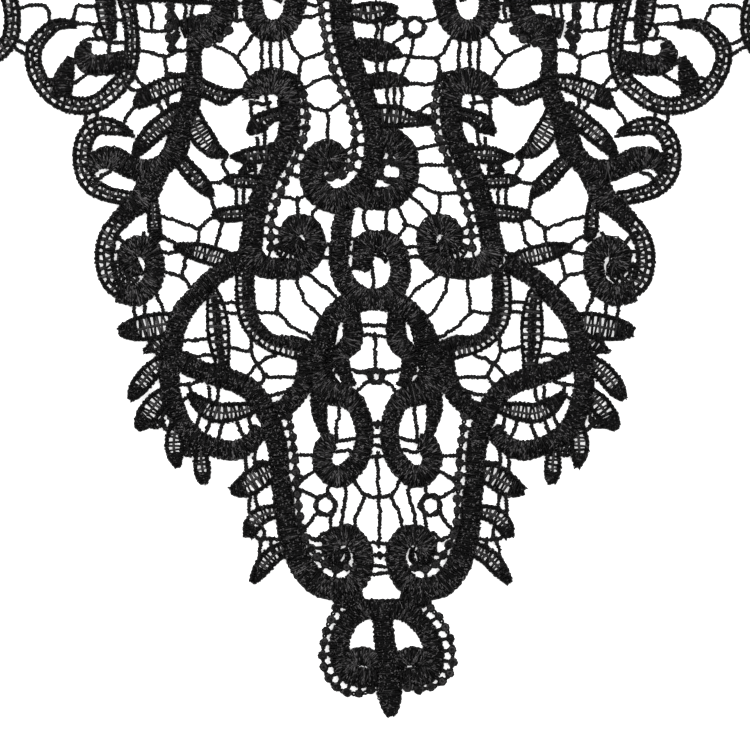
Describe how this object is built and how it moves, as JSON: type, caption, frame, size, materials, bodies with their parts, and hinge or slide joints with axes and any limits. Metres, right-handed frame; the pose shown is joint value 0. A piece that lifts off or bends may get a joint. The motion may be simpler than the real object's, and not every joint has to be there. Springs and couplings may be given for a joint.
{
  "type": "lace collar",
  "caption": "Black guipure lace collar laid flat: satin cord scrolls, mesh bands and leaves, picot rows and twisted bars, with two arms round the neck and a pendant drop at its tip",
  "frame": {"origin": "centre of the bounding box in X and Y, at the height of the flat underside", "axes": "+Y up the collar from the drop to the ends of the arms, +Z out of the upper side, +X to the right in the picture"},
  "size_m": [0.25, 0.3512, 0.0021],
  "materials": {
    "black_thread": "satin thread"
  },
  "bodies": {
    "root": {"bib": "black_thread", "drop": "black_thread", "left_yoke": "black_thread", "right_yoke": "black_thread", "left_arm_1": "black_thread", "left_arm_2": "black_thread", "left_arm_3": "black_thread", "left_arm_4": "black_thread", "right_arm_1": "black_thread", "right_arm_2": "black_thread", "right_arm_3": "black_thread", "right_arm_4": "black_thread"}
  },
  "joints": []
}
